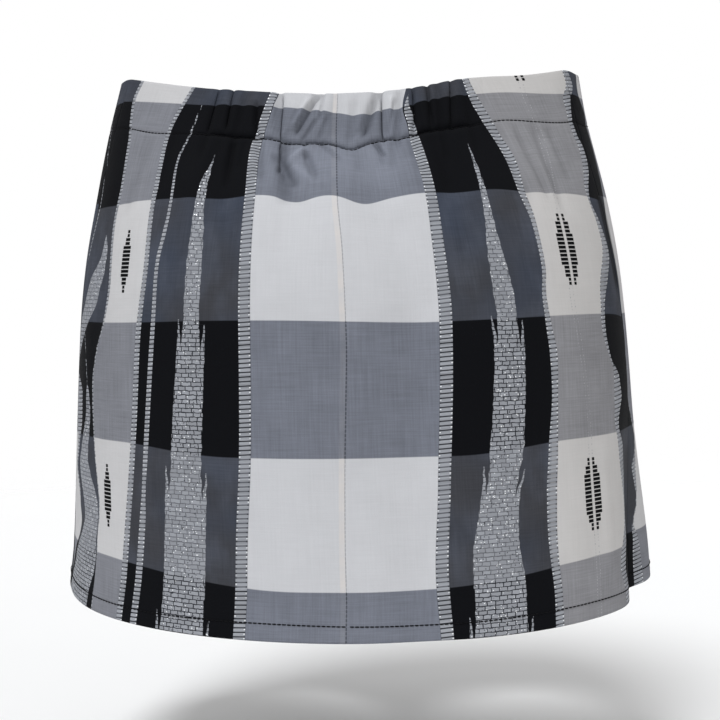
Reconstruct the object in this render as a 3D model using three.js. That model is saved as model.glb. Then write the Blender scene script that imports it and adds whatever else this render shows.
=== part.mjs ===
// A worn mini skort in handwoven check cloth: a skirt of two back panels and one front
// panel, each with its waist casing turned over to the inside, a waist elastic in the
// back casing, and a plain pair of inner shorts hung from the casing.
//
// Millimetres, +Z up. The origin is the middle of the waist opening, at the height of the
// waist's two sides. The gathered back faces -Y and the front faces +Y. "down" is measured
// along the cloth from the top fold, and "turn" is the angle in degrees round the body,
// from 0 at the centre back, through 90 at the +X side, to 180 at the centre front.

import * as THREE from 'three';

// ---- Driving dimensions -----------------------------------------------------------

const skirtLength = 320;
const casingDepth = 32;
const hemDepth = 10;
const clothWall = 1.2;
const seamGap = 0.3;
const foldRise = 0.8;

const elasticWall = 1.2;
const elasticTop = 5;
const elasticBottom = 28;
const elasticReach = 30;

const gathersPerSide = 8;
const gatherLift = 2.3;
const gatherFadeStart = 36;
const gatherFadeEnd = 84;
const softFoldLift = 1.8;
const softFoldEnd = 150;

// The skirt's sections, measured on the outside of the cloth. Each drop is how far that
// place lies below the waist's sides. "full" rounds the ellipse out towards a rectangle,
// and "seam" is the turn of both side seams.
const skirtSections = [
  { down: 0, halfWidth: 141, back: 76, front: 98, sideDrop: 0, backDrop: 23.5, frontDrop: 8,
    shift: -4, full: 0.035, seam: 64 },
  { down: 32, halfWidth: 147, back: 88, front: 103, sideDrop: 31, backDrop: 50, frontDrop: 38,
    shift: -5, full: 0.042, seam: 64.3 },
  { down: 80, halfWidth: 156, back: 114, front: 110, sideDrop: 79, backDrop: 84, frontDrop: 84,
    shift: -3.5, full: 0.048, seam: 65.4 },
  { down: 115, halfWidth: 161.5, back: 127, front: 114, sideDrop: 113, backDrop: 117,
    frontDrop: 118, shift: -3.2, full: 0.05, seam: 66.4 },
  { down: 151, halfWidth: 165, back: 133, front: 116, sideDrop: 148, backDrop: 151,
    frontDrop: 152, shift: -3, full: 0.05, seam: 69 },
  { down: 222, halfWidth: 169, back: 135, front: 119, sideDrop: 217, backDrop: 221,
    frontDrop: 222, shift: -2, full: 0.052, seam: 71.2 },
  { down: 292, halfWidth: 173, back: 136, front: 122, sideDrop: 281, backDrop: 290,
    frontDrop: 290, shift: 0.3, full: 0.053, seam: 72.2 },
  { down: 320, halfWidth: 175, back: 138, front: 124, sideDrop: 307, backDrop: 317,
    frontDrop: 317, shift: 0, full: 0.053, seam: 72.5 },
];

// Broad folds of the hanging skirt. Each grows from nothing at "start" to its whole lift
// at "whole"; a negative lift is a trough. "spread" is its half-width in degrees.
const broadFolds = [
  { turn: 67, spread: 10, start: 175, whole: 330, lift: -14 },
  { turn: 90, spread: 10, start: 170, whole: 320, lift: 5 },
  { turn: -84, spread: 9, start: 190, whole: 330, lift: 3 },
  { turn: 140, spread: 12, start: 180, whole: 330, lift: 4 },
  { turn: 163, spread: 9, start: 190, whole: 330, lift: -4 },
  { turn: 186, spread: 11, start: 180, whole: 330, lift: 3.5 },
  { turn: 215, spread: 12, start: 200, whole: 330, lift: -3.5 },
  { turn: 243, spread: 12, start: 190, whole: 330, lift: 4 },
];

// What the casing holds: the cloth turned in behind the elastic.
const casingGap = elasticWall + 2 * seamGap;
const turnedIn = clothWall + casingGap;
const turnedInside = turnedIn + clothWall;
const hemFold = skirtLength - hemDepth;

// The inner shorts hang from the turned casing, "clear" of the outside of the skirt, and
// split into two oval legs at the crotch.
const shortsTop = casingDepth + 2 * seamGap;
const splitStart = 118;
const crotchDown = 225;
const legEnd = 288;
const legSpacing = 5;
const legDepthShare = 0.92;
const shortsSections = [
  { down: shortsTop, clear: turnedIn },
  { down: 60, clear: 7 },
  { down: 95, clear: 10.5 },
  { down: 140, clear: 13.5 },
  { down: crotchDown, clear: 17 },
  { down: legEnd, clear: 24 },
];

// ---- Tables and small sums --------------------------------------------------------

const degree = Math.PI / 180;

// A smooth curve through one column of a table, carried on straight past its ends.
function readTable(rows, key, column, at) {
  const last = rows.length - 1;
  const slope = (i, j) => (rows[j][column] - rows[i][column]) / (rows[j][key] - rows[i][key]);
  const rowSlope = (i) => slope(Math.max(i - 1, 0), Math.min(i + 1, last));
  if (at <= rows[0][key]) return rows[0][column] + (at - rows[0][key]) * rowSlope(0);
  if (at >= rows[last][key]) return rows[last][column] + (at - rows[last][key]) * rowSlope(last);
  let i = 0;
  while (rows[i + 1][key] < at) i += 1;
  const span = rows[i + 1][key] - rows[i][key];
  const t = (at - rows[i][key]) / span;
  const hermite = [
    (1 + 2 * t) * (1 - t) ** 2 * rows[i][column],
    t * (1 - t) ** 2 * span * rowSlope(i),
    t * t * (3 - 2 * t) * rows[i + 1][column],
    t * t * (t - 1) * span * rowSlope(i + 1),
  ];
  return hermite.reduce((sum, term) => sum + term, 0);
}

const smooth = (from, to, value) => THREE.MathUtils.smoothstep(value, from, to);

// Evenly spaced values from first to last, both included.
function spaced(first, last, steps) {
  return Array.from({ length: steps + 1 }, (_, i) => first + ((last - first) * i) / steps);
}

// ---- The skirt's surface ----------------------------------------------------------

// A point of the smooth skirt, before any fold.
function skirtBase(down, turn) {
  const row = (column) => readTable(skirtSections, 'down', column, down);
  const s = Math.sin(turn * degree);
  const c = Math.cos(turn * degree);
  const round = 1 + row('full') * Math.sin(2 * turn * degree) ** 2;
  const depth = c > 0 ? row('back') : row('front');
  const middleDrop = c > 0 ? row('backDrop') : row('frontDrop');
  const drop = row('sideDrop') + (middleDrop - row('sideDrop')) * c ** 2;
  return new THREE.Vector3(row('shift') + row('halfWidth') * s * round, -depth * c * round, -drop);
}

// The outward direction of a surface made by base(a, b), where a runs down.
function outwardOf(base, a, b, stepA, stepB) {
  const along = base(a + stepA, b).sub(base(a - stepA, b));
  const round = base(a, b + stepB).sub(base(a, b - stepB));
  return along.cross(round).normalize();
}

// Turn measured from the centre back, from -180 to 180.
const fromBack = (turn) => THREE.MathUtils.euclideanModulo(turn + 180, 360) - 180;

// How strongly the elastic draws the cloth in at this turn: 1 inside its reach, 0 outside.
const drawnIn = (turn) => 1 - smooth(elasticReach - 4, elasticReach + 6, Math.abs(fromBack(turn)));

// Folds of the whole wall: three soft ridges under the gathers, and the broad folds.
function wallFold(down, turn) {
  const back = fromBack(turn);
  const ridgeSpacing = 16;
  const softRise = smooth(casingDepth, 70, down) * (1 - smooth(85, softFoldEnd, down));
  let lift = softFoldLift * softRise * drawnIn(turn) * Math.cos((2 * Math.PI * back) / ridgeSpacing);
  for (const fold of broadFolds) {
    const away = fromBack(turn - fold.turn) / fold.spread;
    lift += fold.lift * smooth(fold.start, fold.whole, down) * Math.exp(-away * away);
  }
  return lift;
}

// Gathers on the outside of the cloth: narrow in the casing and just below it, then every
// second one runs on and dies out. They stand outwards only, over a plain inside.
function gatherHeight(down, turn) {
  const back = fromBack(turn);
  if (Math.abs(back) >= elasticReach) return 0;
  const phase = (back / elasticReach) * gathersPerSide * 2 * Math.PI;
  const narrow = (1 - Math.cos(phase)) / 2;
  const wide = (1 - Math.cos(phase / 2)) / 2;
  const uneven = 0.75 + 0.25 * Math.sin(phase * 0.37 + 1.1);
  const pinch = 1 - 0.6 * Math.exp(-(((down - casingDepth) / 2.5) ** 2));
  const top = 0.6 + 0.4 * smooth(0, 8, down);
  const fade = 1 - smooth(gatherFadeStart, gatherFadeEnd, down);
  const wideFade = smooth(gatherFadeStart, 60, down) * (1 - smooth(70, softFoldEnd, down));
  return gatherLift * uneven * (narrow * top * pinch * fade + 0.8 * wide * wideFade);
}

// A point of the skirt, folds and all, moved in from its outside by inset.
function skirtPoint(down, turn, inset, gathered) {
  const outward = outwardOf(skirtBase, down, turn, 1, 0.5);
  const lift = wallFold(down, turn) + (gathered ? gatherHeight(down, turn) : 0);
  return skirtBase(down, turn).addScaledVector(outward, lift - inset);
}

// ---- Closed walls from a section swept over columns --------------------------------

// Sweeps a wall over the columns and closes both ends. The wall's section is a row of
// stations, each with a point on its outside and one on its inside. place(column, point)
// gives a position in space, and each point is [down, inset, gathered].
function sweepWall(columns, stations, place) {
  const section = [
    ...stations.map((station) => station.outside),
    ...stations.toReversed().map((station) => station.inside),
  ];
  const positions = columns.flatMap((column) => (
    section.flatMap((point) => place(column, point).toArray())));
  const count = section.length;
  const triangles = [];
  for (let i = 0; i < columns.length - 1; i += 1) {
    for (let j = 0; j < count; j += 1) {
      const here = i * count + j;
      const below = i * count + ((j + 1) % count);
      triangles.push(here, below, here + count, below, below + count, here + count);
    }
  }
  const end = (columns.length - 1) * count;
  for (let k = 0; k < stations.length - 1; k += 1) {
    const inner = count - 1 - k;
    triangles.push(k + 1, k, inner, k + 1, inner, inner - 1);
    triangles.push(end + k, end + k + 1, end + inner, end + k + 1, end + inner - 1, end + inner);
  }
  const geometry = new THREE.BufferGeometry();
  geometry.setAttribute('position', new THREE.Float32BufferAttribute(positions, 3));
  geometry.setIndex(outsideOut(positions, triangles));
  geometry.computeVertexNormals();
  return geometry;
}

// A plain station of a wall, level on both of its faces.
const level = (down, outerInset, innerInset) => (
  { outside: [down, outerInset, true], inside: [down, innerInset, false] });

// Turns every face over if the body they close would come out inside out.
function outsideOut(positions, triangles) {
  const corner = (i) => new THREE.Vector3().fromArray(positions, 3 * i);
  let volume = 0;
  for (let i = 0; i < triangles.length; i += 3) {
    const [a, b, c] = triangles.slice(i, i + 3).map(corner);
    volume += a.dot(b.cross(c));
  }
  if (volume > 0) return triangles;
  return triangles.map((_, i) => triangles[i % 3 === 0 ? i : i % 3 === 1 ? i + 1 : i - 1]);
}

// ---- Skirt panels -----------------------------------------------------------------

// The section of a panel, from the doubled hem up the skirt, over the top fold and down
// the turned casing.
const panelDowns = [285, 242, 200, 160, 124, 95, 72, 54, 41, casingDepth, 24, 12];
const turnedDowns = [12, 24, casingDepth];

function panelSection() {
  const ceiling = clothWall;
  const middle = turnedInside / 2;
  return [
    level(skirtLength, 0, 2 * clothWall),
    level(hemFold, 0, 2 * clothWall),
    level(hemFold - foldRise, 0, clothWall),
    ...panelDowns.map((down) => level(down, 0, clothWall)),
    { outside: [0, 0, true], inside: [ceiling, clothWall, false] },
    { outside: [-foldRise, clothWall, false], inside: [ceiling, middle - seamGap, false] },
    { outside: [-foldRise, turnedIn, false], inside: [ceiling, middle + seamGap, false] },
    { outside: [0, turnedInside, false], inside: [ceiling, turnedIn, false] },
    ...turnedDowns.map((down) => (
      { outside: [down, turnedInside, false], inside: [down, turnedIn, false] })),
  ];
}

// Half a seam gap, as turn, where the skirt's outline has the given radius.
const halfGapTurn = (radius) => seamGap / 2 / radius / degree;

const sideSeam = (down) => readTable(skirtSections, 'down', 'seam', down);

// A back panel from the centre-back seam to its side seam; side is 1 for +X, -1 for -X.
function backPanel(side) {
  const gathered = spaced(0, elasticReach, 4 * gathersPerSide);
  const plain = spaced(0, 1, 7).slice(1);
  const columns = [
    ...gathered.map((turn) => () => turn),
    ...plain.map((part) => (down) => elasticReach + part * (sideSeam(down) - elasticReach)),
  ];
  const backGap = halfGapTurn(150);
  const sideGap = halfGapTurn(100);
  return sweepWall(columns, panelSection(),
    (column, [down, inset, raised]) => {
      const turn = THREE.MathUtils.clamp(column(down), backGap, sideSeam(down) - sideGap);
      return skirtPoint(down, side * turn, inset, raised);
    });
}

// The front panel, from the +X side seam round the front to the -X side seam.
function frontPanel() {
  const columns = spaced(0, 1, 24);
  const sideGap = halfGapTurn(100);
  return sweepWall(columns, panelSection(),
    (part, [down, inset, raised]) => {
      const first = sideSeam(down) + sideGap;
      return skirtPoint(down, THREE.MathUtils.lerp(first, 360 - first, part), inset, raised);
    });
}

// The flat elastic inside the back casing, across the centre-back seam.
function waistElastic() {
  const columns = spaced(-elasticReach, elasticReach, 32);
  const outer = clothWall + seamGap;
  const downs = [elasticTop, 12, 24, elasticBottom];
  return sweepWall(columns, downs.map((down) => level(down, outer, outer + elasticWall)),
    (turn, [down, inset]) => skirtPoint(down, turn, inset, false));
}

// ---- Inner shorts -----------------------------------------------------------------

const hipDowns = [shortsTop, 46, 64, 86, 110, 134, 156, 176, 192, 205, 215, 221.5, crotchDown];
const legDowns = [246, 267, legEnd];

// The surface of one leg piece, for side 1 or -1. "part" runs from 0 at the centre back,
// over the side, to 1 at the centre front; below the crotch both ends meet inside the leg.
const shortsBase = (side) => (down, part) => {
  const skirt = (column) => readTable(skirtSections, 'down', column, down);
  const clear = readTable(shortsSections, 'down', 'clear', down);
  const gapTurn = halfGapTurn(skirt('halfWidth'));
  const turn = side * THREE.MathUtils.clamp(180 * part, gapTurn, 180 - gapTurn);
  const hip = skirtBase(down, turn);
  hip.addScaledVector(outwardOf(skirtBase, down, turn, 1, 0.5), -clear);

  const round = 2 * Math.PI * part;
  const inside = seamGap / 2 + legSpacing * smooth(crotchDown, legEnd, down);
  const width = skirt('halfWidth') - clear - inside;
  const depth = legDepthShare * ((part < 0.5 ? skirt('back') : skirt('front')) - clear);
  const seamSide = part < 0.5 ? -seamGap / 2 : seamGap / 2;
  const leg = new THREE.Vector3(
    skirt('shift') + side * (inside + (width * (1 - Math.cos(round))) / 2),
    seamSide - depth * Math.sin(round),
    -skirt('sideDrop'),
  );
  const split = THREE.MathUtils.clamp((down - splitStart) / (crotchDown - splitStart), 0, 1);
  return hip.lerp(leg, 1 - Math.sqrt(1 - split ** 3));
};

function shortsLeg(side) {
  const columns = spaced(0, 1, 22);
  const stations = [...hipDowns, ...legDowns].map((down) => level(down, 0, clothWall));
  const base = shortsBase(side);
  return sweepWall(columns, stations, (part, [down, inset]) => {
    const inner = THREE.MathUtils.clamp(part, 0.006, 0.994);
    const outward = outwardOf(base, down, inner, 0.5, 0.004);
    return base(down, part).addScaledVector(outward, -side * inset);
  });
}

// ---- Materials and the whole garment -----------------------------------------------

const checkCloth = new THREE.MeshStandardMaterial({ color: 0x8c8f96, roughness: 0.85, metalness: 0 });
const shortsCloth = new THREE.MeshStandardMaterial({ color: 0x1a1b20, roughness: 0.9, metalness: 0 });
const elasticCloth = new THREE.MeshStandardMaterial({ color: 0xe8e6e0, roughness: 0.8, metalness: 0 });

function named(name, geometry, material) {
  const mesh = new THREE.Mesh(geometry, material);
  mesh.name = name;
  return mesh;
}

const skort = new THREE.Group();
skort.add(
  named('back_right', backPanel(1), checkCloth),
  named('back_left', backPanel(-1), checkCloth),
  named('front', frontPanel(), checkCloth),
  named('waist_elastic', waistElastic(), elasticCloth),
  named('shorts_right', shortsLeg(1), shortsCloth),
  named('shorts_left', shortsLeg(-1), shortsCloth),
);

export default skort;
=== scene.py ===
import math

import bpy
import numpy as np
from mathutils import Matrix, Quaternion


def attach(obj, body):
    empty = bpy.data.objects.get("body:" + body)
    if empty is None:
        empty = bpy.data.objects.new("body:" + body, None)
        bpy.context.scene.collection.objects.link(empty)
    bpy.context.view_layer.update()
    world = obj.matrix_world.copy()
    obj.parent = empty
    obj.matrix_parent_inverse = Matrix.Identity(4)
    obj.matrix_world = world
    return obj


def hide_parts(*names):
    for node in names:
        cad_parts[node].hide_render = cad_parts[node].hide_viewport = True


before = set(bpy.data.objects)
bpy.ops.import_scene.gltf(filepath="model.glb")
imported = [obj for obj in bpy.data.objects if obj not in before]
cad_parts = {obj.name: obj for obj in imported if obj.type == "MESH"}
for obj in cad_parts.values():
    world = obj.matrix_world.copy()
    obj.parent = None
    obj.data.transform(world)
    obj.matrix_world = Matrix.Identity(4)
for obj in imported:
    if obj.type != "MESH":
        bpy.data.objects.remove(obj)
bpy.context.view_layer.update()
metre = 0.001   # all sizes below are in millimetres

# down is measured along the cloth from the top fold, turn in degrees round the body from the
# centre back (0), through the right side (90), to the centre front (180)
skirt = {
    "length": 320.0, "casing": 32.0, "hem": 10.0, "wall": 1.2, "turnedIn": 3.0, "topRise": 0.8,
    "seamGap": 0.06, "degree": 2.5,    # millimetres of cloth to a degree, round the back
    "down": [0, 32, 80, 115, 151, 222, 292, 320],
    "halfWidth": [141, 147, 156, 161.5, 165, 169, 173, 175],
    "back": [76, 88, 114, 127, 133, 135, 136, 138],
    "front": [98, 103, 110, 114, 116, 119, 122, 124],
    "sideDrop": [0, 31, 79, 113, 148, 217, 281, 307],
    "backDrop": [23.5, 50, 84, 117, 151, 221, 290, 317],
    "frontDrop": [8, 38, 84, 118, 152, 222, 290, 317],
    "shift": [-4, -5, -3.5, -3.2, -3, -2, 0.3, 0],
    "full": [0.035, 0.042, 0.048, 0.05, 0.05, 0.052, 0.053, 0.053],
    "seam": [64, 64.3, 65.4, 66.4, 69, 71.2, 72.2, 72.5],
}

# broad folds of the hanging skirt: turn, spread in degrees, start, whole, lift
broadFolds = [
    (69.5, 8.5, 175, 330, -14), (90, 10, 170, 320, 2), (-84, 9, 190, 330, 3), (140, 12, 180, 330, 4),
    (163, 9, 190, 330, -4), (186, 11, 180, 330, 3.5), (215, 12, 200, 330, -3.5),
    (243, 12, 190, 330, 4),
]

gathers = {
    "reach": 30.0, "lift": 2.2, "fadeStart": 34.0, "fadeEnd": 80.0, "groove": 1.3, "grooveHalf": 1.0,
    "waveLift": 1.5, "waveDegrees": 16.0, "takeUpRight": 43.0, "takeUpLeft": 24.0, "takeUpEnd": 150.0,
}
rim = {"rise": 3.2, "riseTurn": 30.0, "riseReach": 12.0, "dipRight": 3.0, "dipLeft": 2.4}

# how far the casing's stitch line drops below its level: turn, reach in degrees, drop
casingDrops = [
    (-10, 3.5, 4), (-5, 4, 4), (2.4, 4.2, 9), (9, 4, 1.2), (14, 4.5, 2.4), (36, 7.5, -3), (70, 7, 3),
]

# creases listed one by one: turn and down of each end, depth (minus is a trough), half-width, lean
backCreases = [
    (-29, -2, -30, 52, -1.3, 2.2, 0), (-29.2, 2, -29.8, 30, -0.9, 0.8, 0),
    (-25.4, -2, -25, 31, -1.5, 1.8, 0.4), (-25.2, -2, -25, 26, -1.3, 0.7, 0.5),
    (-22, 3, -23.5, 64, -1.1, 2.4, 0), (-19, 8, -17.6, 36, -1.4, 1.6, -0.5),
    (-18.8, 10, -17.6, 33, -1.0, 0.7, 0),
    (-14.4, -2, -13.3, 33, -1.8, 2.4, 0.6), (-13.4, 4, -12.9, 36, -3.2, 0.75, 0.8),
    (-12.9, 33, -12.6, 60, -3.0, 1.0, 0.9), (-12.8, 34, -11, 84, -2.4, 4.0, 0.9),
    (-4.8, 0, -9.3, 31, -2.0, 3.2, -0.5), (-4.8, 2, -9, 29, -1.9, 1.1, -0.4),
    (-6.9, 3, -10.8, 26, 1.1, 1.6, 0),
    (-3.9, -1, -4.4, 20, -1.3, 1.0, 0), (-5, 18, -7.8, 35, -1.6, 1.3, 0), (-2.5, 16, -4.2, 35, -1.2, 1.5, 0),
    (-9.6, 12, -11.4, 33, -0.9, 1.6, 0), (-1.4, 0, -1.6, 34, -0.9, 3.0, 0),
    (3.2, 4, 2.2, 40, -0.9, 2.3, 0.3), (8.2, -1, 4.7, 33, -2.4, 3.0, 0.5),
    (7.6, 6, 5.2, 30, -1.6, 1.2, 0.4), (12.2, 8, 10.6, 33, -1.2, 1.4, 0),
    (6.6, 18, 3.8, 36, 0.8, 1.3, 0), (9.5, -2, 9.9, 37, -1.6, 2.0, -0.6),
    (9.6, 2, 9.9, 36, -3.2, 0.75, -0.8), (11.4, 4, 11.2, 33, 0.9, 1.4, 0), (13.2, 2, 12.4, 46, -1.5, 1.9, 0),
    (16, 0, 16.2, 34, -1.7, 1.5, 0.6), (16, 4, 16.2, 24, -1.0, 0.7, 0.3),
    (19.6, -2, 20.4, 33, -1.5, 1.6, -0.4), (19.8, -2, 20.2, 22, -1.3, 0.7, -0.4),
    (22, 0, 22.6, 58, -1.2, 1.9, 0), (25.4, -2, 24.4, 36, -1.5, 1.6, 0.4),
    (25.2, 0, 24.6, 30, -1.0, 0.7, 0), (28.2, 0, 29.4, 56, -1.1, 2.2, 0),
    (-6.6, 41, -11.2, 54, 1.7, 2.4, 0), (-13.2, 48, -8.8, 72, -2.4, 3.0, 0.4),
    (-6.9, 45, -4.4, 70, -1.8, 2.2, 0),
    (-4, 36, 0.6, 54, -1.2, 1.7, 0), (7.6, 37, 9.8, 50, -1.4, 1.2, 0), (-9.6, 56, -3.6, 70, 1.2, 3.4, 0),
    (-7.4, 34, -6.6, 50, -1.0, 1.4, 0), (-17, 38, -16, 70, -1.4, 2.4, 0.4),
    (-22.6, 37, -23.4, 74, -1.3, 2.0, 0),
    (8.0, 37, 9.4, 56, -1.1, 1.7, 0), (11.4, 38, 11, 60, -0.9, 1.8, 0), (3.4, 42, 4.4, 62, -0.8, 2.6, 0),
    (15, 36, 17, 66, -1.1, 2.6, 0), (20, 36, 22, 78, -1.0, 3.0, 0), (-26, 36, -28, 84, -1.0, 3.4, 0),
    (-20, 36, -21, 60, -0.8, 2.2, 0),
    (35, 34, 39, 88, -1.3, 3.2, 0), (40, 34, 44, 84, -1.4, 2.4, 0), (45, 34, 47.5, 92, -1.2, 3.0, 0),
    (50, 36, 52, 72, -0.9, 2.8, 0), (-38, 34, -39, 78, -0.7, 3.4, 0), (-46, 36, -48, 90, -0.8, 4.0, 0),
    (20, 96, 14, 210, -1.2, 11.0, 0), (33, 70, 36, 150, 0.9, 8.0, 0), (26, 84, 23, 132, -1.1, 5.0, 0),
    (-24, 110, -30, 230, 0.9, 12.0, 0), (-22, 84, -27, 140, -1.0, 7.0, 0),
    (-52, 60, -56, 250, -1.0, 10.0, 0),
    (5, 100, 9, 150, 0.9, 9.0, 0), (12, 92, 17, 148, -1.2, 8.0, 0), (-8, 92, -5, 140, 0.7, 8.0, 0),
    (2, 225, -4, 305, -0.9, 13.0, 0), (45, 150, 43, 290, 1.0, 10.0, 0), (36, 236, 39, 300, -1.2, 7.0, 0),
    (52, 226, 50, 304, 1.1, 6.0, 0), (14, 236, 18, 300, 0.8, 11.0, 0),
    (13.5, 84, 12.5, 340, -4.2, 19.0, 0), (-10, 90, -8, 300, 0.9, 16.0, 0),
]
# tucks: turn and down of each end, how far one lip slides over (plus is to the right), half-width
tucks = [
    (-13.4, 4, -12.9, 36, 1.7, 0.95), (-12.9, 34, -12.4, 58, 1.3, 1.0), (9.6, 0, 9.9, 35, -1.6, 0.95),
    (-29.4, -2, -29.8, 30, 1.2, 0.9), (-25.2, -2, -25, 28, -1.0, 0.8), (16, 0, 16.2, 26, 1.1, 0.8),
    (25.2, 0, 24.6, 30, -1.1, 0.8), (-5, 4, -9, 30, -1.3, 0.9), (7.6, 8, 5.4, 31, 1.0, 0.9),
]
frontCreases = [
    (150, -2, 149, 60, -0.9, 2.8, 0), (163, 0, 165, 50, -0.8, 2.4, 0), (176, -2, 175, 72, -0.9, 3.0, 0),
    (191, 0, 193, 46, -0.8, 2.2, 0), (206, -2, 204, 64, -1.0, 2.8, 0), (221, 0, 222, 52, -0.7, 2.4, 0),
    (130, 4, 127, 96, -0.9, 5.0, 0), (232, 6, 236, 110, -0.9, 5.4, 0),
    (110, 30, 118, 150, -1.0, 7.0, 0), (251, 24, 243, 140, -1.0, 7.0, 0),
    (170, 90, 160, 230, 0.9, 12.0, 0), (197, 110, 205, 260, -1.0, 12.0, 0),
    (140, 120, 146, 250, -0.8, 10.0, 0), (224, 150, 219, 290, 0.9, 11.0, 0),
    (84, 60, 92, 160, -1.1, 7.0, 0), (277, 50, 268, 170, -1.1, 7.5, 0),
]


def smooth(start, whole, value):
    part = np.clip((value - start) / (whole - start), 0, 1)
    return part * part * (3 - 2 * part)


def hump(start, whole, falls, gone, value):
    # rises softly from start to whole, and is gone again between the other two
    return smooth(start, whole, value) * (1 - smooth(falls, gone, value))


def bump(value, at, reach):
    return np.exp(-((value - at) / reach) ** 2)


def bells(value, rows):
    # the sum of soft bells, each row its place, reach and height
    return sum(height * bump(value, at, reach) for at, reach, height in rows)


def readColumn(rows, keyRow, at):
    # cubic Hermite between the rows, each slope taken from its two neighbours, straight past the ends
    key = np.array(keyRow, float)
    row = np.array(rows, float)
    last = len(key) - 1
    low = np.maximum(np.arange(last + 1) - 1, 0)
    high = np.minimum(np.arange(last + 1) + 1, last)
    slope = (row[high] - row[low]) / (key[high] - key[low])
    at = np.asarray(at, float)
    i = np.clip(np.searchsorted(key, at) - 1, 0, last - 1)
    span = key[i + 1] - key[i]
    t = np.clip((at - key[i]) / span, 0, 1)
    inside = ((1 + 2 * t) * (1 - t) ** 2 * row[i] + t * (1 - t) ** 2 * span * slope[i]
              + t * t * (3 - 2 * t) * row[i + 1] + t * t * (t - 1) * span * slope[i + 1])
    return (inside + np.minimum(at - key[0], 0) * slope[0] + np.maximum(at - key[last], 0) * slope[last])


def skirtSize(name, down):
    return readColumn(skirt[name], skirt["down"], down)


def skirtBase(down, turn):
    # x = shift + half-width * sin(turn), y = -depth * cos(turn), both rounded out on the diagonals;
    # z = -(side drop, blended to the middle drop by cos squared)
    down, turn = np.broadcast_arrays(np.asarray(down, float), np.asarray(turn, float))
    sine = np.sin(np.radians(turn))
    cosine = np.cos(np.radians(turn))
    rounded = 1 + skirtSize("full", down) * np.sin(2 * np.radians(turn)) ** 2
    depth = np.where(cosine > 0, skirtSize("back", down), skirtSize("front", down))
    middle = np.where(cosine > 0, skirtSize("backDrop", down), skirtSize("frontDrop", down))
    side = skirtSize("sideDrop", down)
    return np.stack([
        skirtSize("shift", down) + skirtSize("halfWidth", down) * sine * rounded,
        -depth * cosine * rounded,
        -(side + (middle - side) * cosine ** 2),
    ], -1)


def outwardOf(surface, a, b, stepA, stepB):
    # the unit cross product of the two small steps along the surface
    along = surface(a + stepA, b) - surface(a - stepA, b)
    across = surface(a, b + stepB) - surface(a, b - stepB)
    normal = np.cross(along, across)
    return normal / np.linalg.norm(normal, axis=-1, keepdims=True)


def fromBack(turn):
    return np.mod(turn + 180, 360) - 180


def broadFold(down, turn):
    # each fold: its lift, grown smoothly down the skirt, times a bell across the turn;
    # under the gathers a soft cosine wave comes and goes
    back = fromBack(turn)
    drawn = 1 - smooth(26, 36, np.abs(back))
    rise = hump(skirt["casing"], 70, 85, 150, down)
    lift = gathers["waveLift"] * rise * drawn * np.cos(2 * np.pi * back / gathers["waveDegrees"])
    for turnAt, spread, start, whole, height in broadFolds:
        lift = lift + height * smooth(start, whole, down) * bump(fromBack(turn - turnAt), 0, spread)
    return lift


def oneCrease(x, y, lineX, lineY, depth, width, lean, fade):
    # the depth times a bell across the crease's line, leaning to one side if asked, fading in and
    # out softly at the line's two ends; fade holds shares of its length
    length = math.hypot(lineX, lineY)
    along = (x * lineX + y * lineY) / length
    across = (x * lineY - y * lineX) / length / width
    ends = hump(*(share * length for share in fade), along)
    return depth * bump(across, 0, 1) * (1 + lean * across) * ends


def creaseLift(down, turn, creases):
    # the sum of the skirt's creases, in millimetres outwards
    total = np.zeros(np.broadcast(down, turn).shape)
    for turnA, downA, turnB, downB, depth, width, lean in creases:
        x = fromBack(turn - turnA) * skirt["degree"]
        lineX = (turnB - turnA) * skirt["degree"]
        total = total + oneCrease(x, down - downA, lineX, downB - downA, depth, width, lean,
                                  (-0.12, 0.12, 0.8, 1.1))
    return total


def casingLine(turn):
    # the casing's stitch line: level with the casing, with the small drops that the gathers give it
    back = fromBack(turn)
    return skirt["casing"] + bells(back, casingDrops) + 0.8 * np.sin(back / 4)


def gatherLift(down, turn):
    # the drawn-in cloth puffs out over the elastic, pinched at the stitch line and the top
    back = np.abs(fromBack(turn))
    drawn = 1 - smooth(gathers["reach"] - 5, gathers["reach"] + 3, back)
    away = down - casingLine(turn)
    pinch = 1 - 0.6 * bump(away, 0, 2.6)
    top = 0.55 + 0.45 * smooth(-1, 8, down)
    fade = 1 - smooth(gathers["fadeStart"], gathers["fadeEnd"], down)
    groove = gathers["groove"] * (0.35 + 0.65 * drawn) * bump(away, 0, gathers["grooveHalf"])
    return gathers["lift"] * drawn * pinch * top * fade - groove


def tuckSlide(down, turn):
    # one lip of each tuck slides over its line: the slide times a bell beside the line, in degrees
    total = np.zeros(np.broadcast(down, turn).shape)
    for turnA, downA, turnB, downB, slide, half in tucks:
        line = turnA + (turnB - turnA) * (down - downA) / (downB - downA)
        beside = math.copysign(1, slide) * fromBack(turn - line) * skirt["degree"] + half
        ends = hump(downA - 3, downA + 4, downB - 4, downB + 4, down)
        total = total + slide * bump(beside, 0, half) * ends
    return total / skirt["degree"]


def rimLift(down, turn):
    # the top edge rides up on the right of the gathers and dips where it rounds the sides: a bell
    # and two soft steps along the turn, fading down the cloth
    back = fromBack(turn)
    dip = np.where(back > 0, rim["dipRight"], rim["dipLeft"]) * hump(62, 77, 100, 135, np.abs(back))
    rise = rim["rise"] * bump(back, rim["riseTurn"], rim["riseReach"])
    return (rise - dip) * (1 - smooth(12, 70, down))


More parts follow.
